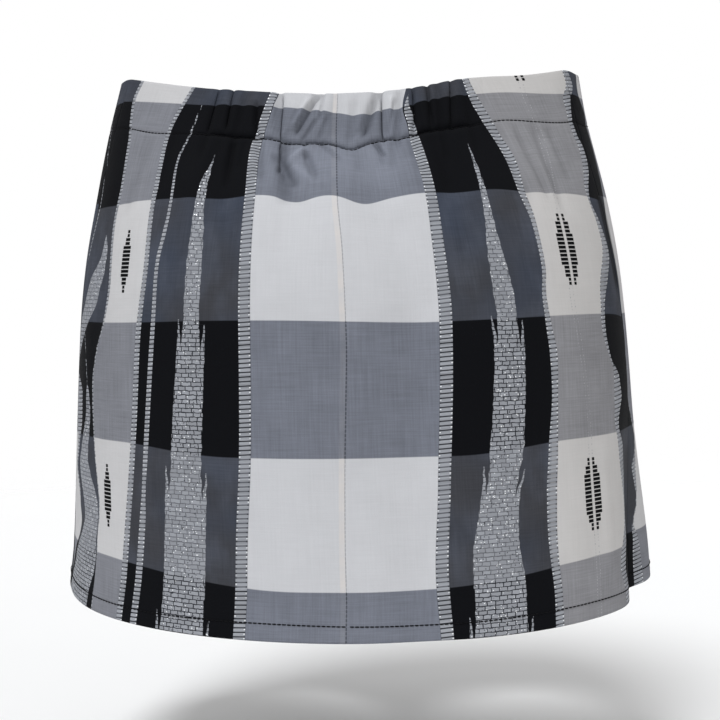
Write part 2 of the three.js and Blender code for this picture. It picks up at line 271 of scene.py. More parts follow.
def skirtPoint(down, turn, inset, share, creases):
    # the smooth skirt, moved out by folds, gathers and creases, and in by the inset; a soft limit
    # keeps the creases off the casing's inner layer
    place = turn + share * tuckSlide(down, turn)
    outward = outwardOf(skirtBase, down, place, 1.0, 0.5)
    lowest = -0.9 - 4.6 * smooth(32, 66, down)
    small = gatherLift(down, turn) + creaseLift(down, turn, creases)
    small = lowest + np.log1p(np.exp(3 * (small - lowest))) / 3
    lift = broadFold(down, turn) + share * small
    raised = rimLift(down, turn)[..., None] * np.array([0, 0, 1])
    return skirtBase(down, place) + outward * (lift - inset)[..., None] + raised


def takeUp(down, turn):
    # how much more cloth the elastic holds than the arc shows, more on the right than the left
    high = np.clip(1 - np.maximum(down, 0) / gathers["takeUpEnd"], 0, 1)
    back = fromBack(turn)
    amount = np.where(back > 0, gathers["takeUpRight"] * high ** 1.65, gathers["takeUpLeft"] * high ** 1.9)
    return np.sign(back) * amount * np.minimum(np.abs(back) / gathers["reach"], 1)


def clothAcross(down, turn, middle):
    # arc length from the panel's middle line, by summing small chords of the smooth skirt over a
    # table of 800 turns by 81 levels, read between its rows
    turns = np.linspace(-200, 200, 801)
    levels = np.linspace(-2, 322, 82)
    chords = np.linalg.norm(np.diff(skirtBase(levels[:, None], middle + turns[None]), axis=1), axis=-1)
    arc = np.concatenate([np.zeros((len(levels), 1)), np.cumsum(chords, axis=1)], axis=1)
    arc = arc - arc[:, 400:401]
    column = np.clip((turn - middle - turns[0]) / (turns[1] - turns[0]), 0, 799.999)
    row = np.clip((down - levels[0]) / (levels[1] - levels[0]), 0, 80.999)
    i, j = row.astype(int), column.astype(int)
    fi, fj = row - i, column - j
    return ((1 - fi) * ((1 - fj) * arc[i, j] + fj * arc[i, j + 1])
            + fi * ((1 - fj) * arc[i + 1, j] + fj * arc[i + 1, j + 1]))


# The woven pattern, in millimetres of flat cloth: "across" from the panel's middle, "down" from
# the top fold. A stripe's rows are down, middle, half-width; a half-width below nothing hides it.
# The weft bands' edges, from white to dark and back in turn, each with the bells by which the
# gathers shift it: across, reach, shift.
weftBands = [
    (15, [(12, 22, 6.5), (48, 16, 3), (-25, 20, 1.5), (138, 22, -1.8)]),
    (80, [(-24, 9, 3.2), (14, 13, 5.2), (84, 30, -2), (190, 28, 3.5), (-170, 40, 3.5)]),
    (151, [(215, 25, 4)]), (223, []), (293, []),
]
backLadders = [
    [(0, 61, -0.8), (8, 57, 0.8), (15, 55.3, 2.3), (26, 56.8, 2.8), (37, 56.6, 3.4), (50, 56.7, 3.6),
     (100, 56.4, 3.3), (180, 56, 3.3), (240, 52.8, 3.3), (285, 49.5, 3.3), (320, 52, 3.3)],
    [(0, -50.2, 2.8), (22, -52.3, 3), (45, -53.5, 3.1), (80, -51.2, 3.2), (150, -50, 3.2),
     (220, -51, 3.2), (270, -55, 3.2), (320, -57.2, 3.2)],
    [(0, 112, 3), (12, 112, 3), (32, 114.2, 3), (55, 116.3, 3), (80, 113.8, 2.5), (98, 115, 1.5),
     (124, 115, 1.3), (139, 112.8, 1.4), (158, 115, 1.9), (170, 117, 2.4), (194, 117, 1.9),
     (222, 114.6, 2.9), (246, 112.9, 3), (272, 112, 2.9), (300, 113.6, 2.5), (320, 114.4, 2.6)],
    [(0, -111.5, 1.1), (30, -116, 1.2), (58, -114.5, 1.3), (87, -113, 1.5), (123, -111.5, 1.6),
     (162, -115.5, 1.8), (200, -118, 1.9), (235, -121.5, 2), (270, -126.5, 2.1), (320, -133, 2.2)],
    [(0, -100.5, -1.6), (6, -101, -0.3), (14, -101.4, 0.35), (32, -101.5, 0.65), (52, -103.6, 0.75),
     (71, -101.8, 0.85), (87, -100.7, 1), (102, -101.6, 1.25), (116, -103.6, 1.2), (144, -104, 1.3),
     (165, -105.6, 1.5), (222, -110.5, 1.6), (246, -113, 1.4), (260, -114.3, 2.1), (320, -122, 2.3)],
    [(0, 184.5, 2.6), (9, 184.6, 3.6), (17, 177.9, 4), (25, 175.5, 2.7), (32, 173.5, 2.2), (42, 173.4, 2.1),
     (49, 175.1, 2.9), (58, 174.4, 3.4), (66, 171.5, 3.3), (74, 167, 2.4), (84, 165.5, 1), (98, 171, 2.4),
     (110, 174, 4), (117, 173, 5.2), (126, 168, 5.2), (134, 164, 4.4), (143, 161, 2.6), (156, 160, 2),
     (166, 162, 1.6), (178, 168, 0.8), (184, 173.2, 3.1), (192, 174.6, 4.9), (198, 175.3, 6),
     (203, 173.9, 4.9), (210, 171.3, 3.3), (217, 172, 2.6), (225, 176.2, 4.8), (233, 177.4, 5.4),
     (247, 179.5, 5), (259, 182.6, 4.8), (267, 181.2, 4.6), (274, 178, 4.4), (282, 172.5, 4.2),
     (290, 168.3, 4.2), (298, 166.6, 3.6), (308, 171.2, 3.7), (320, 173.5, 3.7)],
    [(0, -151, 1.4), (12, -153, 1.3), (26, -149.5, 1.2), (40, -145.6, 1.2), (68, -144, 1.1),
     (93, -145.5, 1.2), (116, -143.2, 1.2), (130, -142.2, 1.2), (142, -144, 1.1), (154, -148.5, 1),
     (165, -155, 0.9), (185, -160.8, 0.8), (218, -158.8, 0.7), (254, -151.6, 0.5), (278, -154.5, 0.5),
     (320, -160, 0.5)],
    [(0, -250, -2), (140, -250, -2), (170, -225, -2), (180, -200, 1), (190, -187, 7), (199, -187, 8.6),
     (211, -186.5, 8), (219, -186.5, 4.5), (228, -189, 3), (238, -192, 2.2), (252, -183, 1.2),
     (262, -181, -0.5), (270, -178.5, -1), (280, -184, -2), (290, -196, -2), (308, -210, -2),
     (320, -222, -2)],
    [(0, -190, -2), (20, -181, -0.8), (30, -178, 0.5), (39, -175, 0.6), (50, -173, 0.6), (66, -170.5, 0.5),
     (80, -169, 0.6), (96, -173, 0.9), (120, -186, 1), (160, -230, 1), (320, -260, -2)],
    [(0, -186, -2), (140, -182, -1), (150, -178.5, 0.4), (162, -174.5, 0.45), (174, -171.4, 0.5),
     (186, -169.4, 0.5), (194, -168.5, -0.6), (320, -168, -2)],
]
# the brick-like stripes: the last number is 1 where the stripe steps out
backBricks = [
    ([(36, 94, -0.6), (60, 92.2, 1.1), (80, 90, 1.8), (97, 88.3, 2.5), (110, 87.4, 3.9),
      (124, 87.6, 5), (137, 88.4, 5.7), (151, 89.3, 5.6), (167, 90.4, 5.4), (194, 89.6, 5.8),
      (207, 88.5, 5.8), (220, 87.2, 6.2), (232, 85.4, 5), (246, 82.4, 3.9), (260, 80.3, 4.6),
      (273, 78.9, 5.8), (287, 79.5, 7.1), (300, 80.3, 7.2), (320, 81, 7.2)], 1),
    ([(42, -79.5, -0.6), (57, -81, 0.9), (71, -82.5, 2.3), (86, -81.8, 2.8), (102, -80.5, 3.7),
      (123, -80, 4.4), (151, -79.8, 4.7), (165, -80.4, 4.9), (197, -82.6, 5.3), (222, -84.4, 5.6),
      (271, -87.6, 5.6), (302, -89.5, 5.8), (320, -90.2, 5.8)], 1),
    ([(94, -153.4, -1.2), (100, -153, 0.4), (110, -152, 2.9), (118, -154.6, 4.5), (124, -158.6, 7.8),
      (133, -164, 9.2), (142, -168.6, 10.4), (152, -180, 11), (170, -200, 11), (190, -220, 8),
      (220, -240, -3)], 0),
    ([(170, -170, -6), (183, -169, -1.5), (188, -168.8, 0.6), (193, -168.5, 2), (204, -167.5, 3),
      (215, -170, 4.2), (227, -173.5, 5.9), (233, -174.6, 7.4), (239, -173, 9), (252, -165.4, 10.4),
      (262, -162.6, 9.7), (270, -163.6, 9.4), (280, -168.5, 12), (290, -174, 17), (300, -178.5, 18.5),
      (308, -184, 20), (320, -191, 24)], 0),
]
# where the warp is black: from one ladder to another, each moved by so many millimetres
backBlack = [(0, -3.4, 2, -1.0), (3, 0.6, 4, 0.4), (4, -0.4, 1, 3.3), (5, 0, None, 0), (7, 0, 6, -0.2)]
brickSteps = {"first": 151.0, "pitch": 79.5, "rise": 3.4}
# stepped figures: across, down, half-length, 1 for two columns
backFigures = [
    (134.5, 113, 20, 1), (140.5, 250, 21, 1), (-128, 116.5, 18, 0), (-142.5, 250, 18, 0),
    (147, -17, 20, 1),
]
backTrack = [(0, 147), (16, 144.5), (33, 144.6), (50, 142), (90, 135), (142, 132.5), (162, 135.5),
             (198, 140.6), (250, 140.5), (299, 141.6), (320, 142)]


def stripesAt(stripes, across, down):
    # every stripe's middle and half-width at each place, how far to its right the place lies, and
    # how far outside its edge
    middles, halves = [], []
    for rows in stripes:
        downs, middle, half = zip(*rows)
        middles.append(readColumn(middle, downs, down))
        halves.append(readColumn(half, downs, down))
    beside = [across - middle for middle in middles]
    return middles, halves, beside, [np.abs(gap) - half for gap, half in zip(beside, halves)]


def bandEdges(across):
    # each edge's level and bells, and the cloth's slow rise or drop towards the sides
    side = np.abs(across)
    first, second, third, fourth, fifth = (down + bells(across, rows) for down, rows in weftBands)
    first = first - 5.5 + 4.5 * (np.minimum(side, 176) / 160) ** 2
    third = third + 0.8 * np.sin(across / 31)
    return first, second, third, fourth - 5 * smooth(60, 130, side), fifth - 8 * smooth(30, 150, side)


def nearest(values, away):
    # of several stripes or figures, what belongs to the nearest one at each point
    pick = np.argmin(np.stack(away), axis=0)
    return [np.take_along_axis(np.stack(value), pick[None], axis=0)[0] for value in values]


def patternOf(across, down, ladders, bricks, blackZones, figures, track, gathered):
    # the distances that the cloth's material needs, for every point at once
    edges = bandEdges(across)
    weftIn = np.maximum.reduce([
        np.minimum(down - edges[0], edges[1] - down),
        np.minimum(down - edges[2], edges[3] - down),
        down - edges[4],
    ])
    middles, halves, beside, away = stripesAt(ladders, across, down)
    ladder = nearest([beside, halves, away], away)
    _, _, brickX, brickAway = stripesAt([rows for rows, _ in bricks], across, down)
    stepped = [steps + 0 * across for _, steps in bricks]
    brick = nearest([brickX, stepped, brickAway], brickAway)
    black = np.full(np.shape(across), -99.0)
    for left, leftBy, right, rightBy in blackZones:
        low = middles[left] + leftBy if left is not None else -999
        high = middles[right] + rightBy if right is not None else 999
        black = np.maximum(black, np.minimum(across - low, high - across))
    figureX = [across - at for at, _, _, _ in figures]
    figureY = [down - at for _, at, _, _ in figures]
    figureAway = [np.hypot(x, y / 2.5) for x, y in zip(figureX, figureY)]
    twins = [twin + 0 * down for _, _, _, twin in figures]
    lengths = [length + 0 * down for _, _, length, _ in figures]
    figure = nearest([figureX, figureY, figureAway], figureAway)
    trackDowns, trackMiddles = zip(*track)
    trackX = across - readColumn(trackMiddles, trackDowns, down)
    columns = {
        "place": (across, down, 0 * down),
        "weave": (black, weftIn, gathered),
        "ladder": ladder,
        "brick": brick,
        "figure": figure,
        "figureSize": (*nearest([twins, lengths], figureAway), trackX),
    }
    return {name: np.stack(values, -1) for name, values in columns.items()}


def makeObject(name, points, faces, attributes=None, shade=True):
    # points in millimetres, and faces that all have the same number of corners
    mesh = bpy.data.meshes.new(name)
    mesh.vertices.add(len(points))
    mesh.vertices.foreach_set("co", (points * metre).astype(np.float32).ravel())
    mesh.loops.add(faces.size)
    mesh.loops.foreach_set("vertex_index", faces.astype(np.int32).ravel())
    mesh.polygons.add(len(faces))
    mesh.polygons.foreach_set("loop_start", np.arange(0, faces.size, faces.shape[1], dtype=np.int32))
    mesh.update(calc_edges=True)
    mesh.validate()
    if shade:
        mesh.polygons.foreach_set("use_smooth", np.ones(len(mesh.polygons), bool))
    for key, values in (attributes or {}).items():
        layer = mesh.attributes.new(key, "FLOAT_VECTOR", "POINT")
        layer.data.foreach_set("vector", values.reshape(-1, 3).astype(np.float32).ravel())
    piece = bpy.data.objects.new(name, mesh)
    bpy.context.scene.collection.objects.link(piece)
    return piece


def sweepFaces(columnCount, stationCount):
    # the section is the outside row and, back again, the inside row; both ends are closed
    count = 2 * stationCount
    i, j = np.meshgrid(np.arange(columnCount - 1), np.arange(count), indexing="ij")
    here = i * count + j
    below = i * count + (j + 1) % count
    walls = np.stack([here, below, below + count, here + count], -1).reshape(-1, 4)
    k = np.arange(stationCount - 1)
    inner = count - 1 - k
    end = (columnCount - 1) * count
    startCap = np.stack([k + 1, k, inner, inner - 1], -1)
    endCap = np.stack([end + k, end + k + 1, end + inner - 1, end + inner], -1)
    return np.concatenate([walls, startCap, endCap])


def outsideOut(points, quads):
    # flips the faces if the volume they close comes out negative
    a, b, c, d = (points[quads[:, n]] for n in range(4))
    volume = np.sum(a * np.cross(b, c)) + np.sum(a * np.cross(c, d))
    return quads if volume > 0 else quads[:, ::-1]


def twoRows(downs, outer, inner):
    # a thin wall's section: the outside row of downs and insets, and the inside row back again
    return np.concatenate([np.stack([downs, outer], -1), np.stack([downs, inner], -1)[::-1]])


def overColumns(section, columns):
    # each number of the section at every point of the sweep, columns by rows
    return (numbers[None] + 0 * columns[:, None] for numbers in section.T)


def sweep(name, points, attributes):
    # an object from the points of a section of two rows, swept over the columns
    flat = points.reshape(-1, 3)
    faces = sweepFaces(points.shape[0], points.shape[1] // 2)
    return makeObject(name, flat, outsideOut(flat, faces), attributes)


def panelStations(downs):
    # the wall's rows: outside down, inset, crease share; inside down, inset, share; flat cloth's down
    wall, turnedIn, length = skirt["wall"], skirt["turnedIn"], skirt["length"]
    hemFold = length - skirt["hem"]
    rows = []
    for angle in np.radians([86, 60, 38, 18]):    # the rounded fold of the hem
        low = length - wall + wall * math.sin(angle)
        inset = wall * (1 - math.cos(angle))
        rows.append((low, inset, 1, low, 2 * wall - inset, 1, low))
    for low in (length - 1.6, length - 4, length - 7, hemFold + 0.5):
        rows.append((low, 0, 1, low, 2 * wall, 1, low))
    for low, inset in ((hemFold, 2 * wall - 0.15), (hemFold - 0.4, wall + 0.1)):
        rows.append((low, 0, 1, low, inset, 1, low))
    for low in downs:
        share = float(smooth(skirt["casing"] + 1, skirt["casing"] + 9, low))
        rows.append((low, 0, 1, low, wall, share, low))
    fold = turnedIn + wall
    for angle in np.radians([0, 22, 45, 68, 90, 112, 135, 158, 180]):    # over the top
        part = (1 - math.cos(angle)) / 2
        innerInset = wall + (turnedIn - wall) * part
        rows.append((-skirt["topRise"] * math.sin(angle), fold * part, 1 - part, wall, innerInset, 0,
                     -fold * part))
    for low in (3, 8, 14, 20, 26, 29.5):    # the turned-in casing, down to its stitch line
        rows.append((low, fold, 0, low, turnedIn, 0, -fold - low))
    rows.append((skirt["casing"], fold - 0.3, 0, skirt["casing"], turnedIn + 0.3, 0, -skirt["casing"] - 8))
    return np.array(rows, float)


def buildPanel(name, turnOf, parts, downs, creases, middle, pattern):
    # sweeps the section over the columns; turnOf(part, down) gives each column's place
    rows = panelStations(downs)
    section = np.concatenate([rows[:, :3], rows[:, 3:6][::-1]])
    turnedUp = rows[:, 3] > skirt["length"] - skirt["hem"] - 0.2
    innerCloth = np.where(turnedUp, 2 * skirt["length"] - rows[:, 3], rows[:, 6])
    clothDown = np.concatenate([rows[:, 6], innerCloth[::-1]])
    down, inset, share = overColumns(section, parts)
    onCloth = np.maximum(down, 0)
    turn = turnOf(parts[:, None], down)
    points = skirtPoint(down, turn, inset, share, creases)
    across = clothAcross(onCloth, turn, middle)
    seamX = np.full(across.shape, 99.0)    # far off, where a panel has no centre seam
    if middle == 0:
        across = across + takeUp(down, turn)
        seamTurn = centreSeam(down)
        seamX = across - clothAcross(onCloth, seamTurn, 0) - takeUp(down, seamTurn)
    gathered = (gatherLift(down, turn) > 0) * bump(fromBack(turn), 0, 34) * (1 - smooth(30, 90, down))
    attributes = patternOf(across, clothDown[None] + 0 * across, *pattern, gathered)
    # the fold attribute: painted shade of the creases and of the right side seam's valley, and the distance
    # from the centre seam
    attributes["fold"] = np.stack([paintedFoldShade(down, turn, creases), seamX, 0 * seamX], -1)
    return sweep(name, points, attributes)


def sideSeam(down):
    return skirtSize("seam", down)


def centreSeam(down):
    # the hanging cloth draws the centre seam a little to one side or the other, in degrees
    return readColumn([-0.75, -0.35, -0.2, 0.75, 1.3, 1.0, 0.2, -0.2, -0.25],
                      [0, 44, 84, 112, 160, 192, 245, 276, 320], down)


def paintedFoldShade(down, turn, creases):
    # painted shade: how deep each point lies in a narrow crease, 1 for a full trough, less than 0 on a
    # ridge, where it paints light; more than 1 for the painted shadow in the valley that the right side seam
    # makes
    narrow = [crease for crease in creases if crease[5] < 4.5]
    shade = np.clip(-creaseLift(down, turn, narrow) / 3, -0.5, 1)
    beside = turn - sideSeam(down)
    return shade + 2.2 * hump(-2.6, -1.2, 2.0, 3.6, beside) * hump(70, 84, 126, 146, down)


def gapTurn(radius):
    return math.degrees(skirt["seamGap"] / 2 / radius)


# how finely the panels are cut: rows down the cloth, and columns as parts of a panel's width
fineDowns = np.concatenate([
    np.linspace(309, 286, 9), np.linspace(283, 102, 60), np.linspace(100, 50, 28),
    np.linspace(48.5, 26, 38), np.linspace(25, 1.2, 23),
])
plainDowns = np.concatenate([np.linspace(309, 100, 70), np.linspace(97, 48, 20), np.linspace(46, 1.5, 30)])
gatheredPart = 0.42    # this much of a back panel's columns cover its gathers
backParts = np.concatenate([np.linspace(0, gatheredPart, 162), np.linspace(gatheredPart, 1, 66)[1:]])
frontParts = np.linspace(0, 1, 251)


def backTurn(side):
    def turnOf(part, down):
        # evenly over the gathers, then evenly to the slanting side seam
        seam, reach = sideSeam(down), gathers["reach"]
        past = (part - gatheredPart) / (1 - gatheredPart)
        turn = np.where(part <= gatheredPart, part / gatheredPart * reach, reach + past * (seam - reach))
        turn = side * np.clip(turn, gapTurn(130), seam - gapTurn(100))
        return turn + centreSeam(down) * (1 - smooth(0, 12, np.abs(turn)))
    return turnOf


def frontTurn(part, down):
    first = sideSeam(down) + gapTurn(100)
    return first + (360 - 2 * first) * part


backPattern = (backLadders, backBricks, backBlack, backFigures, backTrack)

frontLadders = [
    [(0, 52, 3), (60, 53, 3.2), (120, 54, 3.2), (200, 52, 3.2), (285, 48, 3.2), (320, 49, 3.2)],
    [(0, -51, 3), (60, -50, 3.2), (150, -53, 3.2), (300, -57, 3.2), (320, -57, 3.2)],
    [(0, 113, 2.8), (60, 114, 2.8), (150, 117, 1.8), (220, 113, 2.6), (272, 111, 2.6), (320, 113, 2.5)],
    [(0, -114, 2.2), (70, -112, 2.3), (150, -113, 1.6), (220, -117, 2.4), (320, -114, 2.6)],
    [(0, 166, 2), (40, 167, 2), (90, 162, 1.6), (150, 166, 2), (210, 171, 1.8), (320, 167, 1.8)],
    [(0, -165, 2), (60, -164, 2), (120, -161, 1.6), (180, -165, 2), (240, -170, 1.8), (320, -165, 1.8)],
    [(0, 205, 2.6), (40, 211, 2.6), (80, 224, 2.6), (150, 223, 1.8), (220, 226, 2.6), (320, 227, 2.6)],
    [(0, -205, 2.6), (40, -211, 2.6), (90, -227, 2.4), (180, -224, 2), (260, -227, 2.6), (320, -228, 2.6)],
    [(0, 194, -2), (30, 204, -2), (50, 214, -2), (80, 238, -2), (100, 256, -1), (120, 264, 1.8),
     (151, 268, 2), (222, 268, 2.2), (320, 272, 2.4)],
    [(0, -213, -1), (13, -221.6, -1), (25, -218.5, -1), (32, -225, -1), (50, -232, -1), (66, -244, -1),
     (82, -256.6, -1), (98, -269, -1), (113, -271, -1), (128, -272.3, -0.6), (143, -274.3, -0.4),
     (168, -276, -0.5), (182, -280, -0.5), (201, -278, 0.2), (209, -271.5, 1), (220, -262, 0.9),
     (226, -259, 0.9), (236, -263, 1.6), (243, -267.5, 3.8), (252, -267.5, 2.2), (261, -267.1, 1),
     (269, -269, 0.8), (276, -273, 0.8), (282, -275, 1.2), (289, -273.5, 2.5), (301, -274, 3.8),
     (320, -275.5, 4.4)],
    [(0, -229.5, 3.2), (9, -230.5, 3.0), (15, -235, 1), (20, -240, -2), (320, -300, -2)],
    [(0, 214, -1), (24, 226, 0.3), (30, 231, 0.6), (39, 239, 0.6), (50, 248, 0.6), (62, 262, 0.6),
     (90, 290, -2), (320, 320, -2)],
]
frontBricks = [
    ([(18, 84, -0.6), (40, 85.5, 1.6), (80, 85, 3.6), (151, 84, 5.2), (222, 82, 5.6), (272, 79, 5.6),
      (320, 80, 6)], 1),
    ([(32, -83, -0.6), (60, -83, 1.7), (100, -84, 3.7), (151, -85, 5.1), (200, -86, 5.4),
      (320, -83, 5.8)], 1),
    ([(8, 196, -0.6), (40, 195, 2), (100, 192, 4), (151, 193, 5), (240, 196, 5.4), (320, 197, 5.8)], 1),
    ([(26, -197, -0.6), (60, -197, 2), (110, -196, 4), (151, -195, 5), (240, -193, 5.6),
      (320, -195, 5.8)], 1),
]
frontFigures = [
    (138, 114, 20, 1), (141, 250, 21, 1), (-139, 116, 18, 1), (-140, 252, 18, 1),
    (232, 116, 20, 1), (-236, 250, 18, 1),
]
frontTrack = [(0, 141), (60, 140), (114, 138), (180, 140), (250, 141), (320, 142)]
frontBlack = [(0, -3.2, 2, -1), (3, 1, 1, 3.2), (4, -1, 6, 1), (7, -1, 5, 1), (8, 0, None, 0),
              (None, 0, 9, 0)]
frontPattern = (frontLadders, frontBricks, frontBlack, frontFigures, frontTrack)

backRight = buildPanel("skirt_back_right", backTurn(1), backParts, fineDowns, backCreases, 0, backPattern)
backLeft = buildPanel("skirt_back_left", backTurn(-1), backParts, fineDowns, backCreases, 0, backPattern)
frontPiece = buildPanel("skirt_front", frontTurn, frontParts, plainDowns, frontCreases, 180, frontPattern)
print("skirt panels woven")

shorts = {
    "top": 32.6, "splitStart": 118.0, "crotch": 225.0, "legEnd": 288.0, "legSpacing": 5.0,
    "depthShare": 0.92, "gap": 0.3, "wall": 1.2, "hem": 12.0, "hemWall": 1.9, "legWidth": 480.0,
    "clearDown": [32.6, 60, 95, 140, 225, 288], "clear": [3.0, 7, 10.5, 13.5, 17, 24],
}
# soft creases of the legs: part (0 at the centre back, 1 at the centre front) and down of each
# end, depth, half-width in millimetres
shortsCreases = [
    (0.04, 150, 0.16, 232, -1.6, 6), (0.02, 196, 0.12, 262, -1.4, 5), (0.96, 160, 0.84, 236, -1.6, 6),
    (0.98, 204, 0.9, 268, -1.3, 5), (0.3, 226, 0.36, 284, 1.0, 7), (0.62, 224, 0.58, 280, -1.0, 7),
    (0.5, 120, 0.46, 200, -0.9, 9), (0.22, 60, 0.26, 140, -0.8, 8), (0.75, 70, 0.71, 150, -0.8, 8),
]


def shortsBase(side):
    def surface(down, part):
        # the hip follows the skirt, moved in by its clearance; each leg is an oval about its own
        # middle, and the two blend by 1 - sqrt(1 - split cubed) towards the crotch
        down, part = np.broadcast_arrays(np.asarray(down, float), np.asarray(part, float))
        clear = readColumn(shorts["clear"], shorts["clearDown"], down)
        gap = np.degrees(shorts["gap"] / 2 / skirtSize("halfWidth", down))
        turn = side * np.clip(180 * part, gap, 180 - gap)
        hip = skirtBase(down, turn) - outwardOf(skirtBase, down, turn, 1.0, 0.5) * clear[..., None]
        angle = 2 * np.pi * part
        inner = shorts["gap"] / 2 + shorts["legSpacing"] * smooth(shorts["crotch"], shorts["legEnd"], down)
        width = skirtSize("halfWidth", down) - clear - inner
        depth = np.where(part < 0.5, skirtSize("back", down), skirtSize("front", down)) - clear
        leg = np.stack([
            skirtSize("shift", down) + side * (inner + width * (1 - np.cos(angle)) / 2),
            np.where(part < 0.5, -1, 1) * shorts["gap"] / 2
            - shorts["depthShare"] * depth * np.sin(angle),
            -skirtSize("sideDrop", down),
        ], -1)
        split = np.clip((down - shorts["splitStart"]) / (shorts["crotch"] - shorts["splitStart"]), 0, 1)
        share = (1 - np.sqrt(1 - split ** 3))[..., None]
        return hip * (1 - share) + leg * share
    return surface


def shortsLift(down, part):
    # the sum of the legs' creases, in millimetres outwards
    total = np.zeros(np.broadcast(down, part).shape)
    for partA, downA, partB, downB, depth, width in shortsCreases:
        x = (part - partA) * shorts["legWidth"]
        lineX = (partB - partA) * shorts["legWidth"]
        total = total + oneCrease(x, down - downA, lineX, downB - downA, depth, width, 0,
                                  (-0.1, 0.2, 0.75, 1.1))
    return total


def buildLeg(name, side):
    # a wall of two rows, thicker over the leg's hem and rounded at its end
    seamColumns = np.linspace(0, 0.03, 4)[:-1]
    parts = np.concatenate([seamColumns, np.linspace(0.03, 0.97, 84), np.linspace(0.97, 1, 4)[1:]])
    downs = np.concatenate([[287.9, 287.2, 285], np.linspace(282, 277, 3), [276, 275.6],
                            np.linspace(272, 228, 14), np.linspace(225, 150, 26),
                            np.linspace(145, shorts["top"], 24)])
    outer = np.zeros(len(downs))
    inner = np.where(downs > shorts["legEnd"] - shorts["hem"] - 0.2, shorts["hemWall"], shorts["wall"])
    outer[0], inner[0] = 0.5, shorts["hemWall"] - 0.5
    surface = shortsBase(side)
    down, inset = overColumns(twoRows(downs, outer, inner), parts)
    part = parts[:, None] + 0 * down
    outward = side * outwardOf(surface, down, np.clip(part, 0.006, 0.994), 0.5, 0.004)
    fade = smooth(0, 0.03, np.minimum(part, 1 - part)) * smooth(36, 60, down)
    lift = shortsLift(down, part) * fade
    points = surface(down, part) + outward * (lift - inset)[..., None]
    return sweep(name, points, {"place": np.stack([part * shorts["legWidth"], down, 0 * down], -1)})


shortsRight = buildLeg("shorts_leg_right", 1)
shortsLeft = buildLeg("shorts_leg_left", -1)
print("inner shorts made")

elastic = {
    "wall": 1.2, "top": 5.0, "bottom": 28.0, "gap": 0.3, "ribPitch": 3.2, "rib": 0.09, "edge": 0.35,
    "degree": 2.4,
}


def buildElastic():
    # a flat band inside the casing, finely ribbed along its length
    top, bottom, wall = elastic["top"], elastic["bottom"], elastic["wall"]
    turns = np.linspace(-gathers["reach"], gathers["reach"], 181)
    downs = np.concatenate([[top], np.linspace(top + 0.5, bottom - 0.5, 57), [bottom]])
    ribs = elastic["rib"] * (1 + np.cos(2 * np.pi * (downs - top) / elastic["ribPitch"]))
    ribs[[0, -1]] = elastic["edge"]
    outer = skirt["wall"] + elastic["gap"]
    down, inset = overColumns(twoRows(downs, outer + ribs, outer + wall - ribs), turns)
    turn = turns[:, None] + 0 * down
    points = skirtPoint(down, turn, inset, 0 * down, [])
    place = np.stack([turn * elastic["degree"], down, 0 * down], -1)
    return sweep("casing_elastic", points, {"place": place})


elasticPiece = buildElastic()
print("elastic made")

# a stitch's direction is read between two places so far before and after its middle: "look";
# the rows end so many degrees from the centre seam and the side seams
stitch = {
    "length": 2.5, "gap": 0.08, "radius": 0.36, "look": 1.2, "hemRise": 9.2, "fromCentre": 0.3,
    "fromSeam": 0.4,
}


def stitchRow(name, middle, ahead, outward):
    # each stitch is a short tapering thread of 5 rings of 4 points, half sunk in the cloth
    along = np.array([-0.5, -0.36, 0, 0.36, 0.5]) * stitch["length"]
    girth = np.array([0.25, 0.8, 1.0, 0.8, 0.25]) * stitch["radius"]
    lift = np.array([-0.2, 0.12, 0.2, 0.12, -0.2])
    sideways = np.cross(ahead, outward)
    points = np.empty((len(middle), 5, 4, 3))
    for n, (aside, up) in enumerate([(1, 0), (0, 1), (-1, 0), (0, -1)]):
        points[:, :, n] = (
            middle[:, None] + ahead[:, None] * along[None, :, None]
            + sideways[:, None] * (girth * aside)[None, :, None]
            + outward[:, None] * (lift + girth * up)[None, :, None])
    ring = np.array([[n, (n + 1) % 4, (n + 1) % 4 + 4, n + 4] for n in range(4)])
    one = np.concatenate([ring, ring + 4, ring + 8, ring + 12, [[3, 2, 1, 0], [16, 17, 18, 19]]])
    faces = (np.arange(len(middle))[None, :, None] * 20 + one[:, None]).reshape(-1, 4)
    flat = points.reshape(-1, 3)
    return makeObject(name, flat, outsideOut(flat, faces))


def unit(vectors):
    return vectors / np.linalg.norm(vectors, axis=1, keepdims=True)


def stitchLine(name, turns, downOf, creases):
    # walks the line in small steps, then sets a stitch at every length plus gap
    fine = np.linspace(turns[0], turns[1], 4000)
    path = skirtPoint(downOf(fine), fine, 0 * fine, 1 + 0 * fine, creases)
    travelled = np.concatenate([[0], np.cumsum(np.linalg.norm(np.diff(path, axis=0), axis=1))])
    pitch = stitch["length"] + stitch["gap"]
    places = np.arange(pitch / 2, travelled[-1] - pitch / 2, pitch)
    before, middle, after = (
        np.stack([np.interp(places + step, travelled, path[:, k]) for k in range(3)], -1)
        for step in (-stitch["look"], 0, stitch["look"]))
    ahead = unit(after - before)
    at = np.interp(places, travelled, fine)
    outward = outwardOf(skirtBase, downOf(at), at, 1.0, 0.5)
    outward = unit(outward - ahead * np.sum(outward * ahead, axis=1, keepdims=True))
    return stitchRow(name, middle, ahead, outward)


def hemLine(turn):
    # the hem's stitch line, just above the hem's fold inside
    return skirt["length"] - stitch["hemRise"] + 0.5 * np.sin(turn / 9)


near, far = stitch["fromCentre"], stitch["fromSeam"]
threads = [
    stitchLine(f"{line}_stitch_{side}", ends, downOf, creases)
    for line, downOf, seam in (
        ("casing", casingLine, float(sideSeam(32))), ("hem", hemLine, float(sideSeam(311))))
    for side, ends, creases in (
        ("right", (near, seam - far), backCreases), ("left", (-near, far - seam), backCreases),
        ("front", (seam + far, 360 - far - seam), frontCreases))
]
print("stitches sewn:", sum(len(thread.data.polygons) for thread in threads), "faces")


